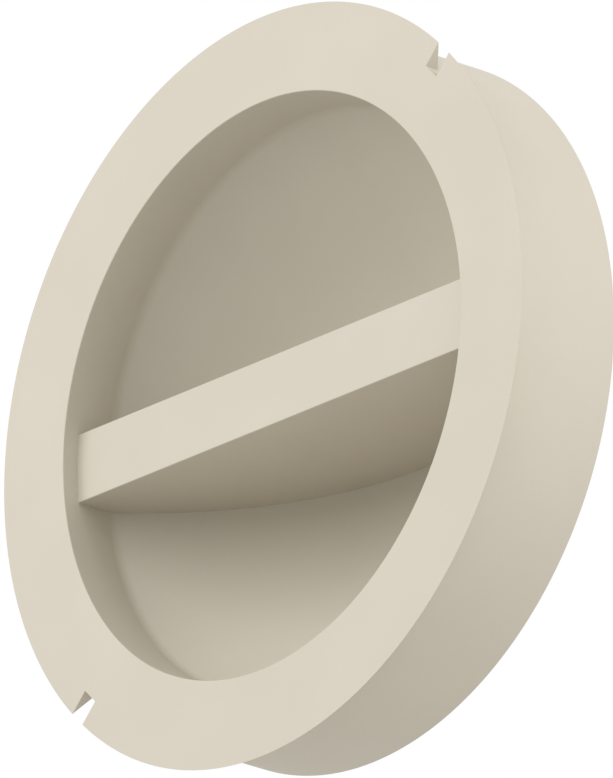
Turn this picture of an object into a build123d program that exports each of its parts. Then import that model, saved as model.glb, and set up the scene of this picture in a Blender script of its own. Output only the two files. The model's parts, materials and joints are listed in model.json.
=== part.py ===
from build123d import *
import os
from math import atan2, radians, sqrt, tan

# A concealed fire sprinkler head for a wall, with its pull-off protective cap fitted.
# +Y runs along the head's axis into the wall, +X is to the right and +Z is up, seen from the room.
# The origin is on the axis, in the plane where the cap's lip meets its skirt.
# Depths are counted along +Y from the cap's front face.

# Cap: a flat ring with a knife-edged lip, a drum-shaped skirt and a dished recess with a bar across it
FACE_RADIUS = 43.0
SKIRT_RADIUS = 40.0
MOUTH_RADIUS = 33.0
CAP_DEPTH = 16.0
LIP_ANGLE = 30.0
LIP_DROP = (FACE_RADIUS - SKIRT_RADIUS) * tan(radians(LIP_ANGLE))
NOTCH_WIDTH = 2.4
NOTCH_ANGLE = 45.0
NOTCH_FLOOR = 40.1
RING_THICKNESS = 2.0
SKIRT_WALL = 1.8
BOWL_RADIUS = 41.0
BOWL_CENTRE_DEPTH = -17.4
BOWL_WALL = 1.3
CREASE_RADIUS = 2.0
BAR_WIDTH = 8.0
BAR_WALL = 1.3
BAR_FRONT_WALL = 1.5
BAR_MID_CORE = 34.0
BAR_END_CORE = (18.2, 30.0)
BOWL_FLANGE_RADIUS = 38.0
BOWL_FLANGE = 1.4

# Spring clips that hold the cap on the support cup, and the rivets that hold the clips
CLIP_COUNT = 4
CLIP_WIDTH = 9.0
CLIP_THICKNESS = 0.4
CLIP_RADIUS = 37.9
CLIP_BOW_RADIUS = 36.9
CLIP_FOOT_RADIUS = 34.9
CLIP_BOW_DEPTHS = (9.2, 10.8)
CLIP_BOW_START = 6.4
CLIP_BEND_SHIFT = 0.1
CLIP_END_DEPTH = 13.6
CLIP_RIVET_CIRCLE = 36.2
CLIP_RIVET_RADIUS = 0.6
CLIP_RIVET_HEAD = (1.1, 0.6)
CLIP_RIVET_SINK = 0.05
CLIP_RIVET_DRAFT = 20

# Pads on the back of the bowl, which hold the deflector back while the cap is on
PAD_RADIUS = 1.6
PAD_HEIGHT_Z = 9.6
PAD_ROOT = 3.0
BODY_GAP = 0.3

# Head: flange, yoke and taper-threaded inlet in one brass body
FLANGE_RADIUS = 17.0
FLANGE_DEPTHS = (27.3, 30.0)
BOSS_RADIUS = 10.5
BOSS_END = 31.4
WATERWAY_RADIUS = 5.0
THREAD_MAJOR = 8.331
THREAD_HEIGHT = 0.856
THREAD_PITCH = 1.337
THREAD_RINGS = 6
THREAD_FLANK = THREAD_HEIGHT * tan(radians(27.5))
THREAD_CREST = THREAD_PITCH / 6
THREAD_RUN_OUT = 0.4
NIPPLE_END = 40.4
NIPPLE_CHAMFER = 0.5
ARM_OUTER = 11.0
ARM_INNER = 8.0
ARM_HALF_DEPTH = 2.1
ARM_ROOT = 0.5
ARM_SHOULDER_DEPTHS = (13.5, 14.6)
ARM_SHOULDER_ROUND = 2.0
YOKE_NOSE = (3.6, 5.6)
YOKE_CROTCH = (3.0, 9.8)
KNUCKLE_RADIUS = 2.3
KNUCKLE_DEPTHS = (4.9, 10.4)
SCREW_RADIUS = 1.58
FIT_GAP = 0.03

# Support cup: drawn sheet steel, riveted to the flange
CUP_SHEET = 0.8
CUP_RADIUS = 36.0
CUP_RIM_DEPTH = 6.5
CUP_SHOULDER_DEPTH = 16.5
CUP_FLOOR_RADIUS = 21.5
CUP_HOLE_RADIUS = 12.6
VENT_COUNT = 8
VENT_ANGLE = 22.5
VENT_CIRCLE = 28.0
VENT_SIZE = (10.0, 3.0)
CUP_RIVET_CIRCLE = 14.6
CUP_RIVET_RADIUS = 0.9
CUP_RIVET_HEAD = 1.6
CUP_RIVET_COUNT = 4
CUP_RIVET_ANGLE = 45.0
CUP_RIVET_DOME = (0.9, 30)

# Deflector: slotted plate that slides on two guide pins
DEFLECTOR_RADIUS = 18.0
DEFLECTOR_DEPTHS = (25.2, 26.1)
DEFLECTOR_HOLE = 7.2
DEFLECTOR_GATE = (24.6, 8.0)
TINE_SLOT = (12.5, 1.2)
TINE_SLOTS_A_SIDE = 10
TINE_ANGLES = (22.5, 135.0)
PIN_X = 14.8
PIN_RADIUS = 1.0
PIN_HEAD = (1.5, 0.7)
PIN_FRONT = 4.0
EYELET_BORE = 1.05
EYELET_RADIUS = 1.6
EYELET_FLANGE = (2.1, 0.6)

# Valve and bulb
PIP_FLANGE_RADIUS = 5.2
PIP_FLANGE_DEPTHS = (25.8, 26.45)
PIP_NECK = (4.2, 28.2)
PIP_BOSS = (1.9, 24.4)
PIP_SOCKET = (0.85, 25.45)
WASHER_RADII = (4.3, 6.2)
WASHER_THICKNESS = 0.3
PIP_STEP = 0.1
BULB_RADIUS = 1.5
BULB_TIP_RADIUS = 0.75
BULB_WALL = 0.3
BULB_BORE = BULB_RADIUS - BULB_WALL
BULB_FRONT = (0.8, 10.75)
BULB_BORE_FRONT = (0.6, 11.2)
BULB_BORE_BACK = (0.3, 24.2)
BULB_BORE_BARREL = (11.9, 22.8)
BULB_BARREL = (11.6, 23.0)
BULB_TIP_DEPTHS = (24.3, 25.35)
BUBBLE_DEPTH = 20.0
BUBBLE_RADIUS = 0.8
SCREW_FRONT = 5.2
SCREW_END = 11.3
SCREW_EDGE = 0.25
SCREW_SEAT = (0.86, 10.7)
SCREW_SEAT_RADIUS = 1.32
SCREW_SOCKET = (0.9, 1.6)


def y(depth):
    """Turn a depth behind the cap's front face into a place along Y."""
    return depth - LIP_DROP


def across(depth):
    """Give the plane at right angles to the axis at a depth, facing the room, with Z up."""
    return Plane.XZ.offset(-y(depth))


def on_bowl(radius, sphere_radius):
    """Give the profile point at a radius on a sphere about the bowl's centre."""
    return (radius, y(BOWL_CENTRE_DEPTH + sqrt(sphere_radius**2 - radius**2)))


def outline(points):
    """Make a face from a closed profile of (radius, depth) pairs."""
    with BuildSketch(Plane.XY) as profile:
        with BuildLine():
            Polyline([(radius, y(depth)) for radius, depth in points], close=True)
        make_face()
    return profile.sketch


def turned(points):
    """Turn a closed profile of (radius, depth) pairs about the axis, into the part being built."""
    revolve(outline(points), axis=Axis.Y)


# --- Cap -----------------------------------------------------------------------------------

with BuildPart() as face_shell:
    turned(
        [
            (MOUTH_RADIUS, 0),
            (FACE_RADIUS, 0),
            (SKIRT_RADIUS, LIP_DROP),
            (SKIRT_RADIUS, CAP_DEPTH),
            (SKIRT_RADIUS - SKIRT_WALL, CAP_DEPTH),
            (SKIRT_RADIUS - SKIRT_WALL, RING_THICKNESS),
            (MOUTH_RADIUS, RING_THICKNESS),
        ]
    )
    # Two notches through the lip only, on one line through the centre
    with BuildSketch(across(LIP_DROP + 1)):
        with PolarLocations(NOTCH_FLOOR + FACE_RADIUS / 2, 2, start_angle=NOTCH_ANGLE):
            Rectangle(FACE_RADIUS, NOTCH_WIDTH)
    extrude(amount=LIP_DROP + 2, mode=Mode.SUBTRACT)

# The bar fills the recess from side to side and runs down to the bowl's floor.
# It is hollow, and open at the back.
with BuildPart() as grip_bar:
    with BuildSketch(across(RING_THICKNESS)):
        Rectangle(2 * FACE_RADIUS, BAR_WIDTH)
    extrude(amount=-2 * CAP_DEPTH)
    with BuildSketch(Plane.XY) as recess_profile:
        with BuildLine():
            Polyline(
                (0, y(0)),
                (MOUTH_RADIUS, y(0)),
                on_bowl(MOUTH_RADIUS, BOWL_RADIUS),
            )
            ThreePointArc(
                on_bowl(MOUTH_RADIUS, BOWL_RADIUS),
                on_bowl(MOUTH_RADIUS / 2, BOWL_RADIUS),
                on_bowl(0, BOWL_RADIUS),
            )
            Line(on_bowl(0, BOWL_RADIUS), (0, y(0)))
        make_face()
        crease = recess_profile.vertices().sort_by_distance(on_bowl(MOUTH_RADIUS, BOWL_RADIUS))[0]
        fillet(crease, CREASE_RADIUS)
    revolve(axis=Axis.Y, mode=Mode.INTERSECT)
    end_core_length = BAR_END_CORE[1] - BAR_END_CORE[0]
    end_core_x = sum(BAR_END_CORE) / 2
    with BuildSketch(across(RING_THICKNESS + BAR_FRONT_WALL)):
        Rectangle(BAR_MID_CORE, BAR_WIDTH - 2 * BAR_WALL)
        with Locations((-end_core_x, 0), (end_core_x, 0)):
            Rectangle(end_core_length, BAR_WIDTH - 2 * BAR_WALL)
    extrude(amount=-2 * CAP_DEPTH, mode=Mode.SUBTRACT)

BOWL_OUTER_RADIUS = BOWL_RADIUS + BOWL_WALL
WALL_OUTER_RADIUS = MOUTH_RADIUS + BOWL_WALL
with BuildPart() as recess_bowl:
    with BuildSketch(Plane.XY) as bowl_profile:
        with BuildLine():
            Polyline(
                on_bowl(MOUTH_RADIUS, BOWL_RADIUS),
                (MOUTH_RADIUS, y(RING_THICKNESS)),
                (BOWL_FLANGE_RADIUS, y(RING_THICKNESS)),
                (BOWL_FLANGE_RADIUS, y(RING_THICKNESS + BOWL_FLANGE)),
                (WALL_OUTER_RADIUS, y(RING_THICKNESS + BOWL_FLANGE)),
                on_bowl(WALL_OUTER_RADIUS, BOWL_OUTER_RADIUS),
            )
            ThreePointArc(
                on_bowl(WALL_OUTER_RADIUS, BOWL_OUTER_RADIUS),
                on_bowl(WALL_OUTER_RADIUS / 2, BOWL_OUTER_RADIUS),
                on_bowl(0, BOWL_OUTER_RADIUS),
            )
            Line(on_bowl(0, BOWL_OUTER_RADIUS), on_bowl(0, BOWL_RADIUS))
            ThreePointArc(
                on_bowl(0, BOWL_RADIUS),
                on_bowl(MOUTH_RADIUS / 2, BOWL_RADIUS),
                on_bowl(MOUTH_RADIUS, BOWL_RADIUS),
            )
        make_face()
        inner_crease = bowl_profile.vertices().sort_by_distance(on_bowl(MOUTH_RADIUS, BOWL_RADIUS))[0]
        fillet(inner_crease, CREASE_RADIUS)
        outer_crease = bowl_profile.vertices().sort_by_distance(
            on_bowl(WALL_OUTER_RADIUS, BOWL_OUTER_RADIUS)
        )[0]
        fillet(outer_crease, CREASE_RADIUS + BOWL_WALL)
    revolve(axis=Axis.Y)
    # A slot behind the bar lets the head's yoke into it
    with BuildSketch(across(RING_THICKNESS)):
        Rectangle(BAR_MID_CORE, BAR_WIDTH - 2 * BAR_WALL)
    extrude(amount=-2 * CAP_DEPTH, mode=Mode.SUBTRACT)
    # Stepped holes for the clip rivets
    with Locations(across(RING_THICKNESS)):
        with PolarLocations(CLIP_RIVET_CIRCLE, CLIP_COUNT):
            CounterBoreHole(
                CLIP_RIVET_RADIUS + FIT_GAP,
                CLIP_RIVET_HEAD[0] + FIT_GAP,
                CLIP_RIVET_HEAD[1] + FIT_GAP,
                BOWL_FLANGE,
            )

# Each clip is a bent strip: a foot on the bowl's flange, and a leaf that bows in to the support cup
CLIP_FOOT_DEPTH = RING_THICKNESS + BOWL_FLANGE
bow_start, bow_end = CLIP_BOW_DEPTHS
retaining_clips = []
for clip_number in range(CLIP_COUNT):
    clip_plane = Plane.XY.rotated((0, clip_number * 360 / CLIP_COUNT, 0))
    with BuildPart() as retaining_clip:
        with BuildSketch(clip_plane):
            clip_outline = outline(
                [
                    (CLIP_FOOT_RADIUS, CLIP_FOOT_DEPTH),
                    (CLIP_RADIUS, CLIP_FOOT_DEPTH),
                    (CLIP_RADIUS, CLIP_BOW_START),
                    (CLIP_BOW_RADIUS, bow_start),
                    (CLIP_BOW_RADIUS, bow_end),
                    (CLIP_RADIUS, CLIP_END_DEPTH),
                    (CLIP_RADIUS - CLIP_THICKNESS, CLIP_END_DEPTH),
                    (CLIP_BOW_RADIUS - CLIP_THICKNESS, bow_end + CLIP_BEND_SHIFT),
                    (CLIP_BOW_RADIUS - CLIP_THICKNESS, bow_start - CLIP_BEND_SHIFT),
                    (CLIP_RADIUS - CLIP_THICKNESS, CLIP_BOW_START - CLIP_BEND_SHIFT),
                    (CLIP_RADIUS - CLIP_THICKNESS, CLIP_FOOT_DEPTH + CLIP_THICKNESS),
                    (CLIP_FOOT_RADIUS, CLIP_FOOT_DEPTH + CLIP_THICKNESS),
                ]
            )
            add(clip_outline)
        extrude(amount=CLIP_WIDTH / 2, both=True)
        # The corners of a straight strip are eased to the skirt's round inside
        with BuildSketch(across(RING_THICKNESS)):
            Circle(SKIRT_RADIUS - SKIRT_WALL - FIT_GAP)
        extrude(amount=-CAP_DEPTH, mode=Mode.INTERSECT)
        with Locations(across(CLIP_FOOT_DEPTH)):
            with PolarLocations(CLIP_RIVET_CIRCLE, CLIP_COUNT):
                Hole(CLIP_RIVET_RADIUS + FIT_GAP, CLIP_THICKNESS)
    retaining_clip.part.label = f"retaining_clip_{clip_number + 1}"
    retaining_clips.append(retaining_clip)

with BuildPart() as clip_rivets:
    head_radius, head_height = CLIP_RIVET_HEAD
    with BuildSketch(across(RING_THICKNESS + CLIP_RIVET_SINK)):
        with PolarLocations(CLIP_RIVET_CIRCLE, CLIP_COUNT):
            Circle(head_radius)
    extrude(amount=-(head_height - CLIP_RIVET_SINK))
    with BuildSketch(across(RING_THICKNESS + CLIP_RIVET_SINK)):
        with PolarLocations(CLIP_RIVET_CIRCLE, CLIP_COUNT):
            Circle(CLIP_RIVET_RADIUS)
    extrude(amount=-(BOWL_FLANGE + CLIP_THICKNESS))
    with BuildSketch(across(CLIP_FOOT_DEPTH + CLIP_THICKNESS)):
        with PolarLocations(CLIP_RIVET_CIRCLE, CLIP_COUNT):
            Circle(head_radius)
    extrude(amount=-head_height, taper=CLIP_RIVET_DRAFT)

bumper_pads = []
for side_name, side in (("upper", 1), ("lower", -1)):
    with BuildPart() as bumper_pad:
        with BuildSketch(across(DEFLECTOR_DEPTHS[0] - BODY_GAP)):
            with Locations((0, side * PAD_HEIGHT_Z)):
                Circle(PAD_RADIUS)
        extrude(amount=PAD_ROOT)
        with Locations((0, y(BOWL_CENTRE_DEPTH), 0)):
            Sphere(BOWL_OUTER_RADIUS, mode=Mode.SUBTRACT)
    bumper_pad.part.label = f"bumper_pad_{side_name}"
    bumper_pads.append(bumper_pad)

# --- Deflector -----------------------------------------------------------------------------

deflector_thickness = DEFLECTOR_DEPTHS[1] - DEFLECTOR_DEPTHS[0]
with BuildPart() as deflector_plate:
    with BuildSketch(across(DEFLECTOR_DEPTHS[1])):
        Circle(DEFLECTOR_RADIUS)
        Circle(DEFLECTOR_HOLE, mode=Mode.SUBTRACT)
        Rectangle(*DEFLECTOR_GATE, mode=Mode.SUBTRACT)
        slot_start, slot_width = TINE_SLOT
        slot_length = DEFLECTOR_RADIUS + 1 - slot_start
        first_angle, angle_range = TINE_ANGLES
        for half_turn in (0, 180):
            with PolarLocations(
                slot_start + slot_length / 2,
                TINE_SLOTS_A_SIDE,
                start_angle=first_angle + half_turn,
                angular_range=angle_range,
                endpoint=True,
            ):
                Rectangle(slot_length, slot_width, mode=Mode.SUBTRACT)
        with Locations((-PIN_X, 0), (PIN_X, 0)):
            Circle(EYELET_RADIUS + FIT_GAP, mode=Mode.SUBTRACT)
    extrude(amount=deflector_thickness)

guide_eyelets = []
for side_name, side in (("left", -1), ("right", 1)):
    with BuildPart() as guide_eyelet:
        with BuildSketch(across(DEFLECTOR_DEPTHS[1])):
            with Locations((side * PIN_X, 0)):
                Circle(EYELET_RADIUS)
        extrude(amount=deflector_thickness)
        with BuildSketch(across(DEFLECTOR_DEPTHS[0])):
            with Locations((side * PIN_X, 0)):
                Circle(EYELET_FLANGE[0])
        extrude(amount=EYELET_FLANGE[1])
        with Locations(across(DEFLECTOR_DEPTHS[0] - EYELET_FLANGE[1])):
            with Locations((side * PIN_X, 0)):
                Hole(EYELET_BORE)
    guide_eyelet.part.label = f"guide_eyelet_{side_name}"
    guide_eyelets.append(guide_eyelet)

# --- Head ----------------------------------------------------------------------------------

# The inlet's thread is a row of rings at the thread's own pitch and height
thread_root = THREAD_MAJOR - THREAD_HEIGHT
thread_points = [(thread_root, BOSS_END)]
for ring in range(THREAD_RINGS):
    ring_start = BOSS_END + THREAD_RUN_OUT + ring * THREAD_PITCH
    thread_points += [
        (thread_root, ring_start),
        (THREAD_MAJOR, ring_start + THREAD_FLANK),
        (THREAD_MAJOR, ring_start + THREAD_FLANK + THREAD_CREST),
        (thread_root, ring_start + 2 * THREAD_FLANK + THREAD_CREST),
    ]

arm_end = FLANGE_DEPTHS[0] + ARM_ROOT
outer_shoulder, inner_shoulder = ARM_SHOULDER_DEPTHS
nose_x, nose_depth = YOKE_NOSE
crotch_x, crotch_depth = YOKE_CROTCH
with BuildPart() as frame_body:
    turned(
        [
            (WATERWAY_RADIUS, FLANGE_DEPTHS[0]),
            (FLANGE_RADIUS, FLANGE_DEPTHS[0]),
            (FLANGE_RADIUS, FLANGE_DEPTHS[1]),
            (BOSS_RADIUS, FLANGE_DEPTHS[1]),
            (BOSS_RADIUS, BOSS_END),
            *thread_points,
            (thread_root, NIPPLE_END - NIPPLE_CHAMFER),
            (thread_root - NIPPLE_CHAMFER, NIPPLE_END),
            (WATERWAY_RADIUS, NIPPLE_END),
        ]
    )
    with BuildSketch(Plane.XY) as yoke_profile:
        yoke_outline = outline(
            [
                (-ARM_OUTER, arm_end),
                (-ARM_OUTER, outer_shoulder),
                (-nose_x, nose_depth),
                (nose_x, nose_depth),
                (ARM_OUTER, outer_shoulder),
                (ARM_OUTER, arm_end),
                (ARM_INNER, arm_end),
                (ARM_INNER, inner_shoulder),
                (crotch_x, crotch_depth),
                (-crotch_x, crotch_depth),
                (-ARM_INNER, inner_shoulder),
                (-ARM_INNER, arm_end),
            ]
        )
        add(yoke_outline)
        shoulder_corners = yoke_profile.vertices().filter_by_position(
            Axis.Y, y(outer_shoulder), y(inner_shoulder)
        )
        fillet(shoulder_corners, ARM_SHOULDER_ROUND)
    extrude(amount=ARM_HALF_DEPTH, both=True)
    with BuildSketch(across(KNUCKLE_DEPTHS[1])):
        Circle(KNUCKLE_RADIUS)
    extrude(amount=KNUCKLE_DEPTHS[1] - KNUCKLE_DEPTHS[0])
    with BuildSketch(across(KNUCKLE_DEPTHS[1] + 1)):
        Circle(SCREW_RADIUS + FIT_GAP)
    extrude(amount=KNUCKLE_DEPTHS[1] - KNUCKLE_DEPTHS[0] + 2, mode=Mode.SUBTRACT)
    with Locations(across(FLANGE_DEPTHS[0])):
        with PolarLocations(CUP_RIVET_CIRCLE, CUP_RIVET_COUNT, start_angle=CUP_RIVET_ANGLE):
            Hole(CUP_RIVET_RADIUS + FIT_GAP, FLANGE_DEPTHS[1] - FLANGE_DEPTHS[0])
        with Locations((-PIN_X, 0), (PIN_X, 0)):
            Hole(PIN_RADIUS + FIT_GAP, FLANGE_DEPTHS[1] - FLANGE_DEPTHS[0])

# A cone joins the cup's floor to its cylinder, with the sheet mitred at both bends
cup_floor_depth = FLANGE_DEPTHS[0]
cone_angle = atan2(CUP_RADIUS - CUP_FLOOR_RADIUS, cup_floor_depth - CUP_SHOULDER_DEPTH)
shoulder_mitre = CUP_SHEET * tan(cone_angle / 2)
floor_mitre = CUP_SHEET * tan((radians(90) - cone_angle) / 2)
with BuildPart() as support_cup:
    turned(
        [
            (CUP_HOLE_RADIUS, cup_floor_depth),
            (CUP_FLOOR_RADIUS, cup_floor_depth),
            (CUP_RADIUS, CUP_SHOULDER_DEPTH),
            (CUP_RADIUS, CUP_RIM_DEPTH),
            (CUP_RADIUS - CUP_SHEET, CUP_RIM_DEPTH),
            (CUP_RADIUS - CUP_SHEET, CUP_SHOULDER_DEPTH - shoulder_mitre),
            (CUP_FLOOR_RADIUS - floor_mitre, cup_floor_depth - CUP_SHEET),
            (CUP_HOLE_RADIUS, cup_floor_depth - CUP_SHEET),
        ]
    )
    with BuildSketch(across(cup_floor_depth)):
        with PolarLocations(VENT_CIRCLE, VENT_COUNT, start_angle=VENT_ANGLE):
            SlotOverall(*VENT_SIZE, rotation=90)
    extrude(amount=cup_floor_depth - CUP_SHOULDER_DEPTH, mode=Mode.SUBTRACT)
    with Locations(across(cup_floor_depth - CUP_SHEET)):
        with PolarLocations(CUP_RIVET_CIRCLE, CUP_RIVET_COUNT, start_angle=CUP_RIVET_ANGLE):
            CounterSinkHole(CUP_RIVET_RADIUS + FIT_GAP, CUP_RIVET_HEAD + FIT_GAP, CUP_SHEET, 90)
        with Locations((-PIN_X, 0), (PIN_X, 0)):
            Hole(PIN_RADIUS + BODY_GAP, CUP_SHEET)

# Each rivet is sunk flush at the front and domed at the back
with BuildPart() as cup_rivets:
    sink_depth = CUP_RIVET_HEAD - CUP_RIVET_RADIUS
    with BuildSketch(across(cup_floor_depth - CUP_SHEET + sink_depth)):
        with PolarLocations(CUP_RIVET_CIRCLE, CUP_RIVET_COUNT, start_angle=CUP_RIVET_ANGLE):
            Circle(CUP_RIVET_RADIUS)
    extrude(amount=sink_depth, taper=-45)
    with BuildSketch(across(FLANGE_DEPTHS[1])):
        with PolarLocations(CUP_RIVET_CIRCLE, CUP_RIVET_COUNT, start_angle=CUP_RIVET_ANGLE):
            Circle(CUP_RIVET_RADIUS)
    extrude(amount=FLANGE_DEPTHS[1] - cup_floor_depth + CUP_SHEET / 2)
    with BuildSketch(across(FLANGE_DEPTHS[1])):
        with PolarLocations(CUP_RIVET_CIRCLE, CUP_RIVET_COUNT, start_angle=CUP_RIVET_ANGLE):
            Circle(CUP_RIVET_HEAD)
    dome_height, dome_draft = CUP_RIVET_DOME
    extrude(amount=-dome_height, taper=dome_draft)

guide_pins = []
for side_name, side in (("left", -1), ("right", 1)):
    with BuildPart() as guide_pin:
        with BuildSketch(across(FLANGE_DEPTHS[1])):
            with Locations((side * PIN_X, 0)):
                Circle(PIN_RADIUS)
        extrude(amount=FLANGE_DEPTHS[1] - PIN_FRONT)
        with BuildSketch(across(PIN_FRONT + PIN_HEAD[1])):
            with Locations((side * PIN_X, 0)):
                Circle(PIN_HEAD[0])
        extrude(amount=PIN_HEAD[1])
        with BuildSketch(across(FLANGE_DEPTHS[1])):
            with Locations((side * PIN_X, 0)):
                Circle(PIN_HEAD[0])
        extrude(amount=-PIN_HEAD[1])
        fillet(guide_pin.edges().group_by(Axis.Y)[0], PIN_HEAD[1] / 2)
    guide_pin.part.label = f"guide_pin_{side_name}"
    guide_pins.append(guide_pin)

# --- Valve and bulb ------------------------------------------------------------------------

washer_inner, washer_outer = WASHER_RADII
with BuildPart() as seal_washer:
    turned(
        [
            (washer_inner, PIP_FLANGE_DEPTHS[1]),
            (washer_outer, FLANGE_DEPTHS[0] - WASHER_THICKNESS),
            (washer_outer, FLANGE_DEPTHS[0]),
            (washer_inner, PIP_FLANGE_DEPTHS[1] + WASHER_THICKNESS),
        ]
    )

with BuildPart() as pip_cap:
    turned(
        [
            (PIP_SOCKET[0], PIP_BOSS[1]),
            (PIP_BOSS[0], PIP_BOSS[1]),
            (PIP_BOSS[0], PIP_FLANGE_DEPTHS[0]),
            (PIP_FLANGE_RADIUS, PIP_FLANGE_DEPTHS[0]),
            (PIP_FLANGE_RADIUS, PIP_FLANGE_DEPTHS[1] - PIP_STEP),
            (PIP_NECK[0], PIP_FLANGE_DEPTHS[1] - PIP_STEP),
            (PIP_NECK[0], PIP_NECK[1]),
            (0, PIP_NECK[1]),
            (0, PIP_SOCKET[1]),
            (PIP_SOCKET[0], PIP_SOCKET[1]),
        ]
    )

with BuildPart() as glass_bulb:
    with BuildSketch(Plane.XY):
        bulb_outside = outline(
            [
                (0, BULB_FRONT[1]),
                BULB_FRONT,
                (BULB_RADIUS, BULB_BARREL[0]),
                (BULB_RADIUS, BULB_BARREL[1]),
                (BULB_TIP_RADIUS, BULB_TIP_DEPTHS[0]),
                (BULB_TIP_RADIUS, BULB_TIP_DEPTHS[1]),
                (0, BULB_TIP_DEPTHS[1]),
            ]
        )
        bulb_inside = outline(
            [
                (0, BULB_BORE_FRONT[1]),
                BULB_BORE_FRONT,
                (BULB_BORE, BULB_BORE_BARREL[0]),
                (BULB_BORE, BULB_BORE_BARREL[1]),
                BULB_BORE_BACK,
                (0, BULB_BORE_BACK[1]),
            ]
        )
        add(bulb_outside)
        add(bulb_inside, mode=Mode.SUBTRACT)
    revolve(axis=Axis.Y)

# The liquid fills the bulb but for a small gas bubble, a hair inside the glass
LIQUID_GAP = 0.05
with BuildPart() as bulb_liquid:
    turned(
        [
            (0, BULB_BORE_FRONT[1] + LIQUID_GAP),
            (BULB_BORE_FRONT[0] - LIQUID_GAP, BULB_BORE_FRONT[1] + LIQUID_GAP),
            (BULB_BORE - FIT_GAP, BULB_BORE_BARREL[0] + LIQUID_GAP),
            (BULB_BORE - FIT_GAP, BULB_BORE_BARREL[1] - LIQUID_GAP),
            (BULB_BORE_BACK[0] - LIQUID_GAP, BULB_BORE_BACK[1] - 2 * LIQUID_GAP),
            (0, BULB_BORE_BACK[1] - 2 * LIQUID_GAP),
        ]
    )
    with Locations((0, y(BUBBLE_DEPTH), 0)):
        Sphere(BUBBLE_RADIUS, mode=Mode.SUBTRACT)

socket_radius, socket_depth = SCREW_SOCKET
with BuildPart() as load_screw:
    turned(
        [
            (0, SCREW_FRONT),
            (SCREW_RADIUS - SCREW_EDGE, SCREW_FRONT),
            (SCREW_RADIUS, SCREW_FRONT + SCREW_EDGE),
            (SCREW_RADIUS, SCREW_END),
            (SCREW_SEAT_RADIUS, SCREW_END),
            SCREW_SEAT,
            (0, SCREW_SEAT[1]),
        ]
    )
    with BuildSketch(across(SCREW_FRONT + socket_depth)):
        RegularPolygon(socket_radius, 6)
    extrude(amount=2 * socket_depth, mode=Mode.SUBTRACT)

# --- Labels and files ----------------------------------------------------------------------

face_shell.part.label = "face_shell"
recess_bowl.part.label = "recess_bowl"
grip_bar.part.label = "grip_bar"
clip_rivets.part.label = "clip_rivets"
deflector_plate.part.label = "deflector_plate"
frame_body.part.label = "frame_body"
support_cup.part.label = "support_cup"
cup_rivets.part.label = "cup_rivets"
seal_washer.part.label = "seal_washer"
pip_cap.part.label = "pip_cap"
glass_bulb.part.label = "glass_bulb"
bulb_liquid.part.label = "bulb_liquid"
load_screw.part.label = "load_screw"

os.makedirs("parts", exist_ok=True)
single_pieces = [face_shell, recess_bowl, grip_bar, clip_rivets, deflector_plate, frame_body, support_cup]
single_pieces += [cup_rivets, seal_washer, pip_cap, glass_bulb, bulb_liquid, load_screw]
for piece in single_pieces + retaining_clips + bumper_pads + guide_eyelets + guide_pins:
    export_step(piece.part, f"parts/{piece.part.label}.step")
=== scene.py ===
import json
from math import atan2, cos, hypot, pi, radians, sin, sqrt

import bmesh
import bpy
from mathutils import Matrix, Vector


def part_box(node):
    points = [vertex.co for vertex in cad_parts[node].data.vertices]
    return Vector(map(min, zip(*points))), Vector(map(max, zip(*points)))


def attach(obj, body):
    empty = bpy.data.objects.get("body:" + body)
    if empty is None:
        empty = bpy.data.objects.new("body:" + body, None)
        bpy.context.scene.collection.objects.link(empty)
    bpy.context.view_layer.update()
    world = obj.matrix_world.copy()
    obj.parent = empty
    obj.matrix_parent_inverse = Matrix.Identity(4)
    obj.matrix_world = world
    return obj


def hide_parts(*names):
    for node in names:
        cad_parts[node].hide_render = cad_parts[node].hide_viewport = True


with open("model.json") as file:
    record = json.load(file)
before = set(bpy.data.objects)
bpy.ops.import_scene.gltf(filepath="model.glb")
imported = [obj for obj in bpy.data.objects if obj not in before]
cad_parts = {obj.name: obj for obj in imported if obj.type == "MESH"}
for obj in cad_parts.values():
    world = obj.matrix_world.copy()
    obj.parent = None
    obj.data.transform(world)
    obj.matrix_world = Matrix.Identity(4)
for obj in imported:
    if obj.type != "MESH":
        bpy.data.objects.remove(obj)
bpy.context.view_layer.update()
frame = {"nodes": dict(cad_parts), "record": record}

bl_info = {
    "name": "Concealed sprinkler head",
    "version": (1, 0, 0),
    "blender": (4, 5, 0),
    "location": "View3D > Sidebar > Sprinkler",
    "description": "Finishes a concealed fire sprinkler head with its pull-off cap",
    "category": "Object",
}

MM = 0.001
FLOOR_Z = -1.0
FLOOR_HALF_SIZE = 6.0
CREASE_STEPS = 8
FLOOR_STEPS = 30
STEPS_A_TURN = 96
RIVETS = 4
RIVET_ANGLE = 45
NOTCH_ANGLES = (-45, 135)
WELD_DEPTH = 0.3 * MM
# Points closer than TOUCH count as one place, and a cutting tool stands CLEAR past what it cuts
TOUCH = 0.01 * MM
CLEAR = MM
# The thread's ridge is sunk this far into the nipple, so that no gap shows under it
RIDGE_SINK = 0.1 * MM


# --- Measures taken from the frame ----------------------------------------------------------

def mount(name):
    """Give one of the record's mounts."""
    return next(m for m in frame["record"]["mounts"] if m["name"] == name)


FACE_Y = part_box("face_shell")[0].y
FACE_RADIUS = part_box("face_shell")[1].z
SKIRT_RADIUS = mount("skirt_fit")["dims"]["r_mm"] * MM
SKIRT_END_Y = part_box("face_shell")[1].y


# --- Colours --------------------------------------------------------------------------------

def linear(hex_colour):
    """Turn an sRGB hex colour to linear RGBA."""
    parts = [int(hex_colour[i:i + 2], 16) / 255 for i in (1, 3, 5)]
    return tuple(c / 12.92 if c <= 0.04045 else ((c + 0.055) / 1.055) ** 2.4 for c in parts) + (1.0,)


def colour_property(name, description, hex_colour):
    """Make a colour setting."""
    return bpy.props.FloatVectorProperty(
        name=name, description=description, default=linear(hex_colour), size=4, min=0, max=1, subtype="COLOR"
    )


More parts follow.
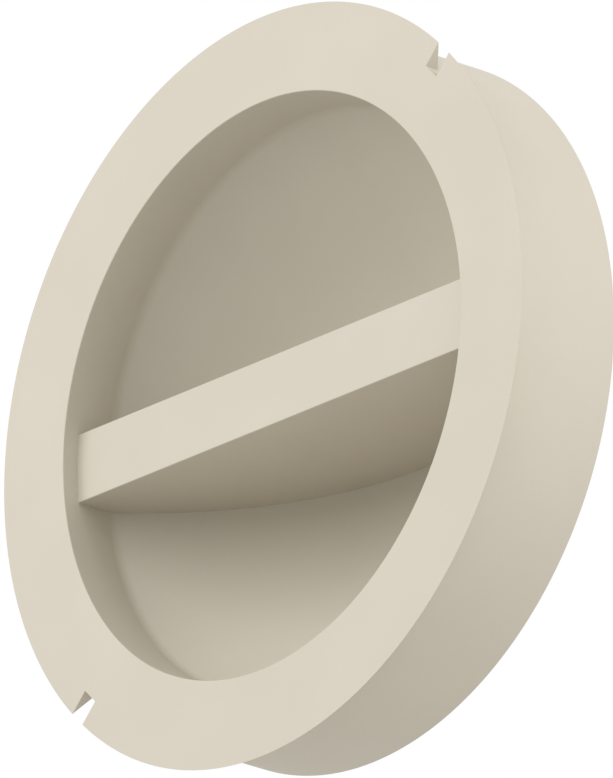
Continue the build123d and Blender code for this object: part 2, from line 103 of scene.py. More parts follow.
def length_property(name, description, millimetres):
    """Make a length setting, given in millimetres and kept in metres."""
    return bpy.props.FloatProperty(
        name=name, description=description, default=millimetres * MM, min=0, subtype="DISTANCE",
        unit="LENGTH"
    )


def angle_property(name, description, degrees):
    """Make an angle setting, given in degrees and kept in radians."""
    return bpy.props.FloatProperty(
        name=name, description=description, default=radians(degrees), subtype="ANGLE", unit="ROTATION"
    )


def place_property(name, description, metres):
    """Make a setting for a place in metres."""
    return bpy.props.FloatVectorProperty(
        name=name, description=description, default=metres, size=3, subtype="TRANSLATION", unit="LENGTH"
    )


def number_property(name, description, number):
    """Make a plain number setting that isn't below nought."""
    return bpy.props.FloatProperty(name=name, description=description, default=number, min=0)


class CapSettings(bpy.types.PropertyGroup):
    """Sizes of the cap's mouldings."""

    mouth_radius: length_property("Mouth radius", "Radius of the recess at the face", 33)
    ring_thickness: length_property("Ring thickness", "Thickness of the flat ring", 2)
    skirt_wall: length_property("Skirt wall", "Thickness of the drum-shaped skirt", 1.8)
    notch_width: length_property("Notch width", "Width of the two notches in the lip", 2.4)
    bowl_radius: length_property("Bowl radius", "Radius of the dished floor", 41)
    bowl_depth: length_property("Bowl depth", "Depth of the floor's middle behind the face", 23.6)
    bowl_wall: length_property("Bowl wall", "Thickness of the dished floor", 1.3)
    bowl_flange: length_property("Bowl flange", "Thickness of the bowl's flange behind the ring", 1.4)
    yoke_slot: length_property("Yoke slot", "Length of the slot that lets the yoke into the bar", 34)
    crease: length_property("Crease", "Radius where the recess wall meets the floor", 2)
    bar_width: length_property("Bar width", "Width of the finger bar", 8)
    bar_wall: length_property("Bar wall", "Wall of the hollow bar", 1.3)
    bar_front_wall: length_property("Bar front wall", "Front wall of the hollow bar", 1.5)
    bar_end_solid: length_property("Bar end", "Solid stretch at each end of the bar", 3)
    edge: length_property("Edge radius", "Radius that the mould leaves on the outside edges", 0.12)
    steps: bpy.props.IntProperty(name="Steps", description="Steps in a full turn", default=288, min=48)


class BodySettings(bpy.types.PropertyGroup):
    """Sizes of the brass body."""

    flange_thickness: length_property("Flange thickness", "Thickness of the round flange", 2.7)
    boss_radius: length_property("Boss radius", "Radius of the boss behind the flange", 10.5)
    boss_length: length_property("Boss length", "Length of the boss", 1.4)
    arm_outer: length_property("Arm outside", "Outside of an arm from the axis", 11)
    arm_inner: length_property("Arm inside", "Inside of an arm from the axis", 8)
    arm_half_depth: length_property("Arm half depth", "Half of an arm's height along Z", 2.1)
    outer_shoulder: length_property("Outer shoulder", "Depth where an arm's outside bends in", 13.5)
    inner_shoulder: length_property("Inner shoulder", "Depth where an arm's inside bends in", 14.6)
    nose_half_width: length_property("Nose half width", "Half width of the yoke's front", 3.6)
    nose_depth: length_property("Nose depth", "Depth of the yoke's front", 5.6)
    crotch_half_width: length_property("Crotch half width", "Half width where the arms meet inside", 3)
    crotch_depth: length_property("Crotch depth", "Depth where the arms meet inside", 9.8)
    shoulder_round: length_property("Shoulder round", "Setback of the round at each shoulder", 0.8)
    forged_edge: length_property("Forged edge", "Radius of the arms' edges", 0.4)
    knuckle_radius: length_property("Knuckle radius", "Radius of the load screw's knuckle", 2.3)
    knuckle_length: length_property("Knuckle length", "Length of the load screw's knuckle", 5.5)
    rivet_circle: length_property("Rivet circle", "Radius of the circle of the cup's rivets", 14.6)
    rivet_radius: length_property("Rivet radius", "Radius of the cup's rivets", 0.9)
    pin_radius: length_property("Pin radius", "Radius of the guide pins", 1)
    fit_gap: length_property("Fit gap", "Gap round a rivet, pin or screw", 0.03)
    edge: length_property("Edge radius", "Radius of the turned edges", 0.2)
    bore_radius: length_property("Bore radius", "Radius of the waterway", 5)
    end_chamfer: length_property("End chamfer", "Chamfer at the inlet's end", 0.5)
    thread_height: length_property("Thread height", "Height of the thread from root to crest", 0.856)
    thread_pitch: length_property("Thread pitch", "Distance from one turn to the next", 1.337)
    flank_angle: angle_property("Flank angle", "Half of the thread's angle", 27.5)
    taper: number_property("Taper", "Length over which the diameter narrows by one", 16)


class CupSettings(bpy.types.PropertyGroup):
    """Sizes of the drawn support cup."""

    sheet: length_property("Sheet", "Thickness of the sheet", 0.8)
    shoulder_depth: length_property("Shoulder depth", "Depth where the cylinder meets the cone", 16.5)
    floor_radius: length_property("Floor radius", "Radius of the flat floor", 21.5)
    hole_radius: length_property("Hole radius", "Radius of the middle hole", 12.6)
    bend: length_property("Bend", "Setback of the outside of each bend", 0.9)
    edge: length_property("Edge radius", "Radius of the sheet's cut edges", 0.15)
    vent_circle: length_property("Vent circle", "Radius of the circle of vents", 28)
    vent_length: length_property("Vent length", "Length of a vent", 10)
    vent_width: length_property("Vent width", "Width of a vent", 3)
    vents: bpy.props.IntProperty(name="Vents", description="Number of vents", default=8, min=1)
    rivet_head: length_property("Rivet head", "Radius of the sunk rivet heads", 1.6)
    pin_gap: length_property("Pin gap", "Gap round the guide pins", 0.3)


class FinishSettings(bpy.types.PropertyGroup):
    """Colours of the finishes."""

    plastic: colour_property("Plastic", "Beige ABS of the cap", "#C3BCAD")
    zinc: colour_property("Zinc", "Plating on the drawn steel", "#C9CCD0")
    spring_steel: colour_property("Spring steel", "Tempered strip of the clips", "#8A8D94")
    brass: colour_property("Brass", "Forged and turned brass", "#E0C896")
    bronze: colour_property("Bronze", "Stamped phosphor bronze", "#CDA17A")
    stainless: colour_property("Stainless", "Drawn stainless wire", "#BDBBB6")
    rubber: colour_property("Rubber", "Black pads", "#1E1E1F")
    glass: colour_property("Glass", "Clear glass of the bulb", "#FAFCFC")
    liquid: colour_property("Liquid", "Red liquid of the bulb", "#C4161C")
    floor: colour_property("Floor", "Pale floor of the stage", "#F4F3F0")


class StageSettings(bpy.types.PropertyGroup):
    """Camera and lights."""

    azimuth: angle_property("Azimuth", "Turn of the camera to the right", 48.97)
    elevation: angle_property("Elevation", "Camera's height above the axis", -20.75)
    view_height: length_property("View height", "Height of the view at the object", 84.63)
    aim_right: length_property("Aim to the right", "View's middle right of the face's centre", 5.086)
    aim_down: length_property("Aim down", "View's middle below the face's centre", 0.447)
    lens: number_property("Lens", "Focal length in millimetres", 1000)
    key_place: place_property("Key place", "Place of the front light", (-0.25, -0.87, 0.52))
    key_size: length_property("Key size", "Side of the front light's square", 1000)
    key_strength: number_property("Key", "Power of the front light in watts", 7.6)
    side_place: place_property("Side place", "Place of the right light", (0.5, 0.08, 0.15))
    side_size: length_property("Side size", "Side of the right light's square", 300)
    side_strength: number_property("Side", "Power of the right light in watts", 1.3)
    fill_strength: number_property("Fill", "Strength of the light all round", 0.82)


# --- Material tools -------------------------------------------------------------------------

def add_node(tree, kind, settings=None, inputs=None):
    """Add a node with its settings, and its inputs as values or as links from other sockets."""
    made = tree.nodes.new(kind)
    for name, value in (settings or {}).items():
        setattr(made, name, value)
    for name, value in (inputs or {}).items():
        if isinstance(value, bpy.types.NodeSocket):
            tree.links.new(value, made.inputs[name])
        else:
            made.inputs[name].default_value = value
    return made


def start_material(name):
    """Make an empty node material, and give its tree and its object coordinates."""
    material = bpy.data.materials.new(name)
    material.use_nodes = True
    tree = material.node_tree
    tree.nodes.clear()
    return material, tree, add_node(tree, "ShaderNodeTexCoord").outputs["Object"]


def shade(material, tree, inputs):
    """Add the surface shader and the output."""
    shader = add_node(tree, "ShaderNodeBsdfPrincipled", inputs=inputs)
    add_node(tree, "ShaderNodeOutputMaterial", inputs={"Surface": shader.outputs["BSDF"]})
    return material


def grain(tree, place, size_mm, detail=2.0):
    """Add an even noise whose grains are of a real size."""
    settings = {"Vector": place, "Scale": 1 / (size_mm * MM), "Detail": detail, "Roughness": 0.5}
    return add_node(tree, "ShaderNodeTexNoise", inputs=settings).outputs["Fac"]


def spread(tree, value, low, high):
    """Stretch the middle of a noise over a range."""
    inputs = {"Value": value, "From Min": 0.3, "From Max": 0.7, "To Min": low, "To Max": high}
    return add_node(tree, "ShaderNodeMapRange", inputs=inputs).outputs["Result"]


def tinted(tree, factor, colour, darkest):
    """Vary a colour between a darker tone of itself and the full colour."""
    dark = [c * darkest for c in colour[:3]] + [1.0]
    mixed = add_node(tree, "ShaderNodeMix", {"data_type": "RGBA"}, {"Factor": factor})
    mixed.inputs[6].default_value = dark
    mixed.inputs[7].default_value = colour
    return mixed.outputs[2]


def relief(tree, height, depth_mm, strength=1.0):
    """Turn a pattern to surface relief of a real depth."""
    inputs = {"Height": height, "Distance": depth_mm * MM, "Strength": strength}
    return add_node(tree, "ShaderNodeBump", inputs=inputs).outputs["Normal"]


def turned_place(tree, place):
    """Give coordinates that run by radius and depth only, so that patterns ring the axis."""
    split = add_node(tree, "ShaderNodeSeparateXYZ", inputs={"Vector": place})
    flat = add_node(
        tree, "ShaderNodeCombineXYZ", inputs={"X": split.outputs["X"], "Y": 0.0, "Z": split.outputs["Z"]}
    )
    radius = add_node(tree, "ShaderNodeVectorMath", {"operation": "LENGTH"}, {0: flat.outputs["Vector"]})
    rings = {"X": radius.outputs["Value"], "Y": split.outputs["Y"], "Z": 0.0}
    return add_node(tree, "ShaderNodeCombineXYZ", inputs=rings).outputs["Vector"]


# --- Materials ------------------------------------------------------------------------------

def moulded_abs(colour):
    """ABS with a fine spark-eroded texture: an even satin skin with almost no gloss."""
    material, tree, place = start_material("moulded_abs")
    cloud = spread(tree, grain(tree, place, 14), 0.0, 1.0)
    # Spark texture has pits of about 0.1 mm, drawn at 0.22 mm so that they show
    spark = grain(tree, place, 0.22, detail=3)
    return shade(material, tree, {
        "Base Color": tinted(tree, cloud, colour, 0.965),
        "Roughness": spread(tree, spark, 0.52, 0.64),
        "IOR": 1.53,
        "Specular IOR Level": 0.4,
        "Normal": relief(tree, spark, 0.012, 0.6),
    })


def zinc_plated_steel(colour):
    """Drawn sheet steel, zinc plated: a soft metallic grey with rings left by drawing."""
    material, tree, place = start_material("zinc_plated_steel")
    rings = grain(tree, turned_place(tree, place), 0.35, detail=4)
    spangle = grain(tree, place, 5)
    return shade(material, tree, {
        "Base Color": tinted(tree, spread(tree, spangle, 0, 1), colour, 0.88),
        "Metallic": 1.0,
        "Roughness": spread(tree, rings, 0.36, 0.52),
        "Normal": relief(tree, rings, 0.006, 0.5),
    })


def blued_spring_steel(colour):
    """Rolled and tempered strip: dark, blue-grey, with rolling lines along its length."""
    material, tree, place = start_material("blued_spring_steel")
    stretch = add_node(tree, "ShaderNodeMapping", inputs={"Vector": place, "Scale": (1.0, 0.08, 1.0)})
    lines = grain(tree, stretch.outputs["Vector"], 0.25, detail=3)
    return shade(material, tree, {
        "Base Color": tinted(tree, spread(tree, lines, 0, 1), colour, 0.8),
        "Metallic": 1.0,
        "Roughness": spread(tree, lines, 0.28, 0.4),
        "Normal": relief(tree, lines, 0.004, 0.5),
    })


def turned_brass(colour):
    """Forged brass, turned on a lathe: warm, half bright, with fine rings and slight tarnish."""
    material, tree, place = start_material("turned_brass")
    rings = grain(tree, turned_place(tree, place), 0.18, detail=4)
    tarnish = grain(tree, place, 4, detail=4)
    return shade(material, tree, {
        "Base Color": tinted(tree, spread(tree, tarnish, 0, 1), colour, 0.74),
        "Metallic": 1.0,
        "Roughness": spread(tree, rings, 0.2, 0.34),
        "Normal": relief(tree, rings, 0.006, 0.5),
    })


def stamped_bronze(colour):
    """Phosphor bronze sheet, stamped: coppery, with straight rolling lines."""
    material, tree, place = start_material("stamped_bronze")
    stretch = add_node(tree, "ShaderNodeMapping", inputs={"Vector": place, "Scale": (0.06, 1.0, 1.0)})
    lines = grain(tree, stretch.outputs["Vector"], 0.3, detail=3)
    stain = grain(tree, place, 6, detail=3)
    return shade(material, tree, {
        "Base Color": tinted(tree, spread(tree, stain, 0, 1), colour, 0.78),
        "Metallic": 1.0,
        "Roughness": spread(tree, lines, 0.24, 0.38),
        "Normal": relief(tree, lines, 0.004, 0.5),
    })


def drawn_stainless(colour):
    """Stainless wire and strip as drawn: a clean grey metal with fine lines along it."""
    material, tree, place = start_material("drawn_stainless")
    stretch = add_node(tree, "ShaderNodeMapping", inputs={"Vector": place, "Scale": (1.0, 0.05, 1.0)})
    lines = grain(tree, stretch.outputs["Vector"], 0.2, detail=3)
    return shade(material, tree, {
        "Base Color": tinted(tree, spread(tree, lines, 0, 1), colour, 0.9),
        "Metallic": 1.0,
        "Roughness": spread(tree, lines, 0.2, 0.3),
        "Normal": relief(tree, lines, 0.003, 0.5),
    })


def moulded_rubber(colour):
    """Black rubber: dark and matt, with a dusty bloom."""
    material, tree, place = start_material("moulded_rubber")
    bloom = grain(tree, place, 0.8, detail=4)
    return shade(material, tree, {
        "Base Color": tinted(tree, spread(tree, bloom, 0, 1), colour, 0.6),
        "Roughness": spread(tree, bloom, 0.7, 0.9),
        "IOR": 1.5,
        "Normal": relief(tree, bloom, 0.02, 0.4),
    })


def blown_glass(colour):
    """Clear glass of the bulb: a bright thin wall with soft waves from drawing the tube."""
    material, tree, place = start_material("blown_glass")
    waves = grain(tree, place, 1.5, detail=1)
    return shade(material, tree, {
        "Base Color": colour,
        "Roughness": 0.02,
        "IOR": 1.52,
        "Transmission Weight": 1.0,
        "Normal": relief(tree, waves, 0.01, 0.3),
    })


def bulb_fluid(colour):
    """Dyed alcohol: saturated red and clear, a little deeper in some places."""
    material, tree, place = start_material("bulb_fluid")
    depth = spread(tree, grain(tree, place, 3), 0, 1)
    return shade(material, tree, {
        "Base Color": tinted(tree, depth, colour, 0.8),
        "Roughness": 0.05,
        "IOR": 1.36,
        "Transmission Weight": 0.35,
    })


def stage_paint(colour):
    """Matt paint on the floor: pale and almost even."""
    material, tree, place = start_material("stage_paint")
    cloud = spread(tree, grain(tree, place, 60), 0.0, 1.0)
    return shade(material, tree, {"Base Color": tinted(tree, cloud, colour, 0.985), "Roughness": 0.8})


SLOT_FINISHES = {
    "cap_plastic": (moulded_abs, "plastic"),
    "spring_steel": (blued_spring_steel, "spring_steel"),
    "plated_steel": (zinc_plated_steel, "zinc"),
    "brass": (turned_brass, "brass"),
    "bronze": (stamped_bronze, "bronze"),
    "stainless": (drawn_stainless, "stainless"),
    "pad_rubber": (moulded_rubber, "rubber"),
    "bulb_glass": (blown_glass, "glass"),
    "bulb_fluid": (bulb_fluid, "liquid"),
}


def finish_of(slot):
    """Give the finish of one of the record's material slots, and make it when it isn't there yet."""
    maker, colour_name = SLOT_FINISHES[slot]
    made = bpy.data.materials.get(maker.__name__)
    return made or maker(tuple(getattr(bpy.context.scene.sprinkler_finish, colour_name)))


# --- Mesh tools -----------------------------------------------------------------------------

def spun(points, steps, closed=True):
    """Spin a (radius, depth) profile about the axis to a solid mesh that faces outwards."""
    mesh = bmesh.new()
    ring = [mesh.verts.new((radius, depth, 0)) for radius, depth in points]
    ends = ring[1:] + ring[:1] if closed else ring[1:]
    edges = [mesh.edges.new(pair) for pair in zip(ring, ends)]
    bmesh.ops.spin(
        mesh, geom=ring + edges, cent=(0, 0, 0), axis=(0, 1, 0), angle=2 * pi, steps=steps, use_merge=True,
        use_duplicate=False,
    )
    bmesh.ops.remove_doubles(mesh, verts=mesh.verts, dist=1e-7)
    bmesh.ops.recalc_face_normals(mesh, faces=mesh.faces)
    return mesh


def rounded(mesh, edges, radius, segments=3):
    """Round some edges of a mesh."""
    bmesh.ops.bevel(
        mesh, geom=edges, affect="EDGES", offset=radius, segments=segments, profile=0.5, material=-1,
        offset_type="OFFSET", clamp_overlap=True,
    )


def ring_edges(mesh, corners):
    """Give the round edges that lie at some (radius, depth) corners."""
    def lies_at(vert, corner):
        return hypot(hypot(vert.co.x, vert.co.z) - corner[0], vert.co.y - corner[1]) < TOUCH

    return [
        edge for edge in mesh.edges
        if any(all(lies_at(vert, corner) for vert in edge.verts) for corner in corners)
    ]


def rod(radius, start, end, x=0.0, z=0.0, sides=48):
    """Make a round rod along the axis, at a place across it."""
    mesh = bmesh.new()
    bmesh.ops.create_cone(
        mesh, cap_ends=True, segments=sides, radius1=radius, radius2=radius, depth=end - start
    )
    bmesh.ops.rotate(mesh, cent=(0, 0, 0), matrix=Matrix.Rotation(pi / 2, 3, "X"), verts=mesh.verts)
    bmesh.ops.translate(mesh, vec=(x, (start + end) / 2, z), verts=mesh.verts)
    return mesh


def rivet_places(body):
    """Give where the cup's rivets stand across the axis."""
    turns = [radians(RIVET_ANGLE) + 2 * pi * number / RIVETS for number in range(RIVETS)]
    return [(body.rivet_circle * cos(turn), body.rivet_circle * sin(turn)) for turn in turns]


def fixing_rods(body, pin_hole, start, end):
    """Give the tools that cut the holes of the cup's rivets and of the guide pins."""
    tools = bmesh.new()
    pin_low, pin_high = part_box("guide_pin_right")
    pin_x = (pin_low.x + pin_high.x) / 2
    for x in (-pin_x, pin_x):
        add_mesh(tools, rod(pin_hole, start, end, x))
    for x, z in rivet_places(body):
        add_mesh(tools, rod(body.rivet_radius + body.fit_gap, start, end, x, z, 32))
    return tools


def add_mesh(mesh, extra):
    """Put a second bmesh, which is used up, into a first."""
    data = bpy.data.meshes.new("extra")
    extra.to_mesh(data)
    extra.free()
    mesh.from_mesh(data)
    bpy.data.meshes.remove(data)


def block(low, high):
    """Make a box between two corners."""
    mesh = bmesh.new()
    bmesh.ops.create_cube(mesh, size=1)
    low, high = Vector(low), Vector(high)
    size = high - low
    bmesh.ops.scale(mesh, vec=size, verts=mesh.verts)
    bmesh.ops.translate(mesh, vec=(low + high) / 2, verts=mesh.verts)
    return mesh


def as_object(mesh, name):
    """Turn a bmesh to an object in the scene."""
    data = bpy.data.meshes.new(name)
    mesh.to_mesh(data)
    mesh.free()
    made = bpy.data.objects.new(name, data)
    bpy.context.scene.collection.objects.link(made)
    return made


def cut(target, tool, operation):
    """Join, cut or intersect an object with another, which is used up."""
    modifier = target.modifiers.new("cut", "BOOLEAN")
    modifier.operation = operation
    modifier.solver = "EXACT"
    modifier.object = tool
    bpy.context.view_layer.update()
    evaluated = target.evaluated_get(bpy.context.evaluated_depsgraph_get())
    result = bpy.data.meshes.new_from_object(evaluated)
    target.modifiers.clear()
    old = target.data
    target.data = result
    result.name = target.name
    bpy.data.meshes.remove(old)
    bpy.data.objects.remove(tool)


def smoothed(target, sharpest=35):
    """Smooth an object's curved faces, and keep its flat faces flat and its corners crisp."""
    for face in target.data.polygons:
        face.use_smooth = True
    target.data.set_sharp_from_angle(angle=radians(sharpest))
    weighted = target.modifiers.new("flat_faces", "WEIGHTED_NORMAL")
    weighted.keep_sharp = True
    weighted.weight = 100


def stands_for(piece, body, slot, *nodes):
    """Finish a new piece: its material, its body and the nodes that it stands for."""
    piece.data.materials.clear()
    piece.data.materials.append(finish_of(slot))
    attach(piece, body)
    if nodes:
        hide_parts(*nodes)


# --- Operators ------------------------------------------------------------------------------

class SPRINKLER_OT_face_shell(bpy.types.Operator):
    """Make the cap's ring, lip and skirt"""

    bl_idname = "sprinkler.face_shell"
    bl_label = "Face shell"

    def execute(self, context):
        cap = context.scene.sprinkler_cap
        skirt_inside = SKIRT_RADIUS - cap.skirt_wall
        ring_back = FACE_Y + cap.ring_thickness
        profile = [
            (cap.mouth_radius, FACE_Y),
            (FACE_RADIUS, FACE_Y),
            (SKIRT_RADIUS, 0.0),
            (SKIRT_RADIUS, SKIRT_END_Y),
            (skirt_inside, SKIRT_END_Y),
            (skirt_inside, ring_back),
            (cap.mouth_radius, ring_back),
        ]
        mesh = spun(profile, cap.steps)
        # The lip keeps its knife edge; the mouth and the skirt's end are eased as the mould eases them
        eased = [(cap.mouth_radius, FACE_Y), (SKIRT_RADIUS, SKIRT_END_Y), (skirt_inside, SKIRT_END_Y)]
        rounded(mesh, ring_edges(mesh, eased), cap.edge)
        shell = as_object(mesh, "cap_face_shell")
        # The notches end at the skirt, whose round leaves their floor a hair inside a chord
        half = cap.notch_width / 2
        floor = sqrt(SKIRT_RADIUS**2 - half**2)
        past_lip = 5 * TOUCH
        for angle in NOTCH_ANGLES:
            tool = block((floor, FACE_Y - CLEAR, -half), (FACE_RADIUS + CLEAR, past_lip, half))
            turn = Matrix.Rotation(radians(angle), 3, "Y")
            bmesh.ops.rotate(tool, cent=(0, 0, 0), matrix=turn, verts=tool.verts)
            cut(shell, as_object(tool, "notch"), "DIFFERENCE")
        smoothed(shell)
        stands_for(shell, "cap", "cap_plastic", "face_shell")
        return {"FINISHED"}


def recess_side(cap, offset):
    """Give the recess's profile from its wall to its middle, moved outwards by an offset."""
    centre_y = FACE_Y + cap.bowl_depth - cap.bowl_radius
    corner_radius = cap.mouth_radius - cap.crease
    corner_y = centre_y + sqrt((cap.bowl_radius - cap.crease)**2 - corner_radius**2)
    meet = atan2(corner_y - centre_y, corner_radius)
    crease = cap.crease + offset
    floor = cap.bowl_radius + offset
    turns = [meet * step / CREASE_STEPS for step in range(CREASE_STEPS + 1)]
    points = [(corner_radius + crease * cos(turn), corner_y + crease * sin(turn)) for turn in turns]
    turns = [meet + (pi / 2 - meet) * step / FLOOR_STEPS for step in range(1, FLOOR_STEPS)]
    points += [(floor * cos(turn), centre_y + floor * sin(turn)) for turn in turns]
    return points + [(0, centre_y + floor)]


class SPRINKLER_OT_recess_bowl(bpy.types.Operator):
    """Make the dished floor and wall of the recess"""

    bl_idname = "sprinkler.recess_bowl"
    bl_label = "Recess bowl"

    def execute(self, context):
        cap = context.scene.sprinkler_cap
        low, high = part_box("recess_bowl")
        flange_back = low.y + cap.bowl_flange
        profile = [(cap.mouth_radius, low.y)] + recess_side(cap, 0)
        back = [(high.z, low.y), (high.z, flange_back), (cap.mouth_radius + cap.bowl_wall, flange_back)]
        back += recess_side(cap, cap.bowl_wall)
        mesh = spun(list(reversed(profile)) + back, cap.steps, closed=False)
        bowl = as_object(mesh, "cap_recess_bowl")
        half_x = cap.yoke_slot / 2
        half_z = cap.bar_width / 2 - cap.bar_wall
        tool = block((-half_x, low.y, -half_z), (half_x, high.y + CLEAR, half_z))
        cut(bowl, as_object(tool, "slot"), "DIFFERENCE")
        smoothed(bowl)
        stands_for(bowl, "cap", "cap_plastic", "recess_bowl")
        return {"FINISHED"}


class SPRINKLER_OT_grip_bar(bpy.types.Operator):
    """Make the hollow finger bar across the recess"""

    bl_idname = "sprinkler.grip_bar"
    bl_label = "Grip bar"

    def execute(self, context):
        cap = context.scene.sprinkler_cap
        low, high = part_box("grip_bar")
        half_z = cap.bar_width / 2
        mesh = block((-FACE_RADIUS, low.y, -half_z), (FACE_RADIUS, high.y + CLEAR, half_z))
        front = [e for e in mesh.edges if all(v.co.y < low.y + MM for v in e.verts)]
        rounded(mesh, [e for e in front if abs(e.verts[0].co.x - e.verts[1].co.x) > MM], cap.edge)
        bar = as_object(mesh, "cap_grip_bar")
        # The bar's ends and foot run a little into the bowl, where they are welded
        inside = recess_side(cap, WELD_DEPTH)
        plug = spun([(0, low.y - CLEAR), (inside[0][0], low.y - CLEAR)] + inside, cap.steps, closed=False)
        cut(bar, as_object(plug, "plug"), "INTERSECT")
        core_z = half_z - cap.bar_wall
        core_y = low.y + cap.bar_front_wall
        half_slot = cap.yoke_slot / 2
        end_core = (half_slot + cap.bar_wall, cap.mouth_radius - cap.bar_end_solid)
        for start, end in ((-half_slot, half_slot), end_core, (-end_core[1], -end_core[0])):
            core = block((start, core_y, -core_z), (end, high.y + CLEAR, core_z))
            cut(bar, as_object(core, "core"), "DIFFERENCE")
        smoothed(bar)
        stands_for(bar, "cap", "cap_plastic", "grip_bar")
        return {"FINISHED"}


class SPRINKLER_OT_brass_body(bpy.types.Operator):
    """Make the brass body: flange, boss, yoke and an inlet with a real helical thread"""

    bl_idname = "sprinkler.brass_body"
    bl_label = "Brass body"

    def execute(self, context):
        body = context.scene.sprinkler_body
        steps = context.scene.sprinkler_cap.steps // 3
        flange_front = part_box("support_cup")[1].y
        flange_back = flange_front + body.flange_thickness
        flange_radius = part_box("frame_body")[1].x
        boss_end = flange_back + body.boss_length
        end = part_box("frame_body")[1].y
        root = mount("inlet_thread")["dims"]["r_mm"] * MM - body.thread_height
        turned = spun(
            [
                (body.bore_radius, flange_front),
                (flange_radius, flange_front),
                (flange_radius, flange_back),
                (body.boss_radius, flange_back),
                (body.boss_radius, boss_end),
                (root, boss_end),
                (root, end - body.end_chamfer),
                (root - body.end_chamfer, end),
                (body.bore_radius + body.end_chamfer, end),
                (body.bore_radius, end - body.end_chamfer),
            ],
            steps,
        )
        corners = [(flange_radius, flange_front), (flange_radius, flange_back), (body.boss_radius, boss_end)]
        rounded(turned, ring_edges(turned, corners), body.edge)
        brass = as_object(turned, "brass_body")
        cut(brass, as_object(self.yoke(body, flange_front), "yoke"), "UNION")
        knuckle_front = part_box("frame_body")[0].y
        knuckle = rod(body.knuckle_radius, knuckle_front, knuckle_front + body.knuckle_length)
        rounded(knuckle, ring_edges(knuckle, [(body.knuckle_radius, knuckle_front)]), body.edge)
        cut(brass, as_object(knuckle, "knuckle"), "UNION")
        screw_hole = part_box("load_screw")[1].x + body.fit_gap
        hole = rod(screw_hole, knuckle_front - CLEAR, knuckle_front + body.knuckle_length + CLEAR)
        cut(brass, as_object(hole, "screw_hole"), "DIFFERENCE")
        pin_hole = body.pin_radius + body.fit_gap
        holes = fixing_rods(body, pin_hole, flange_front - CLEAR / 2, flange_back + CLEAR / 2)
        cut(brass, as_object(holes, "flange_holes"), "DIFFERENCE")
        mesh = bmesh.new()
        mesh.from_mesh(brass.data)
        add_mesh(mesh, self.thread(body, boss_end, end - body.end_chamfer, root))
        mesh.to_mesh(brass.data)
        mesh.free()
        smoothed(brass)
        stands_for(brass, "head", "brass", "frame_body")
        return {"FINISHED"}

    def yoke(self, body, flange_front):
        """Give the two arms and the bridge that carries the load screw, with soft forged edges."""
        root = flange_front + CLEAR / 2
        side = [
            (body.arm_outer, root),
            (body.arm_outer, FACE_Y + body.outer_shoulder),
            (body.nose_half_width, FACE_Y + body.nose_depth),
        ]
        inner = [
            (-body.crotch_half_width, FACE_Y + body.crotch_depth),
            (-body.arm_inner, FACE_Y + body.inner_shoulder),
            (-body.arm_inner, root),
        ]
        outline = side + [(-x, depth) for x, depth in reversed(side)]
        outline += [(x, depth) for x, depth in reversed(inner)] + [(-x, depth) for x, depth in inner]
        mesh = bmesh.new()
        low = mesh.faces.new([mesh.verts.new((x, depth, -body.arm_half_depth)) for x, depth in outline])
        grown = bmesh.ops.extrude_face_region(mesh, geom=[low], use_keep_orig=True)["geom"]
        top = [item for item in grown if isinstance(item, bmesh.types.BMVert)]
        bmesh.ops.translate(mesh, vec=(0, 0, 2 * body.arm_half_depth), verts=top)
        bmesh.ops.recalc_face_normals(mesh, faces=mesh.faces)
        shoulders = (FACE_Y + body.outer_shoulder, FACE_Y + body.inner_shoulder)
        upright = [edge for edge in mesh.edges if abs(edge.verts[0].co.z - edge.verts[1].co.z) > MM]
        bends = [edge for edge in upright if min(abs(edge.verts[0].co.y - y) for y in shoulders) < TOUCH]
        rounded(mesh, bends, body.shoulder_round, segments=8)
        # The ends inside the flange stay square, so that each rounded edge runs straight into it
        rims = [
            edge for edge in mesh.edges
            if abs(edge.verts[0].co.z - edge.verts[1].co.z) < TOUCH and edge.calc_face_angle() > 1
            and min(vert.co.y for vert in edge.verts) < root - TOUCH
        ]
        rounded(mesh, rims, body.forged_edge)
        bmesh.ops.triangulate(mesh, faces=mesh.faces)
        return mesh

    def thread(self, body, start, end, root):
        """Wind the thread's ridge round the nipple, its crest narrowing towards the end."""
        flank = body.thread_height * sin(body.flank_angle) / cos(body.flank_angle)
        crest = body.thread_pitch / 6
        ridge_width = 2 * flank + crest
        under = root - RIDGE_SINK
        major = root + body.thread_height
        section = [(under, 0), (root, 0), (major, flank), (major, flank + crest)]
        section += [(root, ridge_width), (under, ridge_width)]
        turns = (end - start - ridge_width) / body.thread_pitch
        steps = round(turns * STEPS_A_TURN)
        mesh = bmesh.new()
        first = mesh.faces.new([mesh.verts.new((radius, start + depth, 0)) for radius, depth in section])
        bmesh.ops.spin(
            mesh, geom=[first], cent=(0, 0, 0), axis=(0, 1, 0), angle=-2 * pi * turns, steps=steps,
            dvec=(0, turns * body.thread_pitch / steps, 0), use_duplicate=False,
        )
        for vert in mesh.verts:
            radius = hypot(vert.co.x, vert.co.z)
            if radius > root + RIDGE_SINK:
                narrowed = radius - (vert.co.y - start) / (2 * body.taper)
                vert.co.x *= narrowed / radius
                vert.co.z *= narrowed / radius
        bmesh.ops.recalc_face_normals(mesh, faces=mesh.faces)
        return mesh


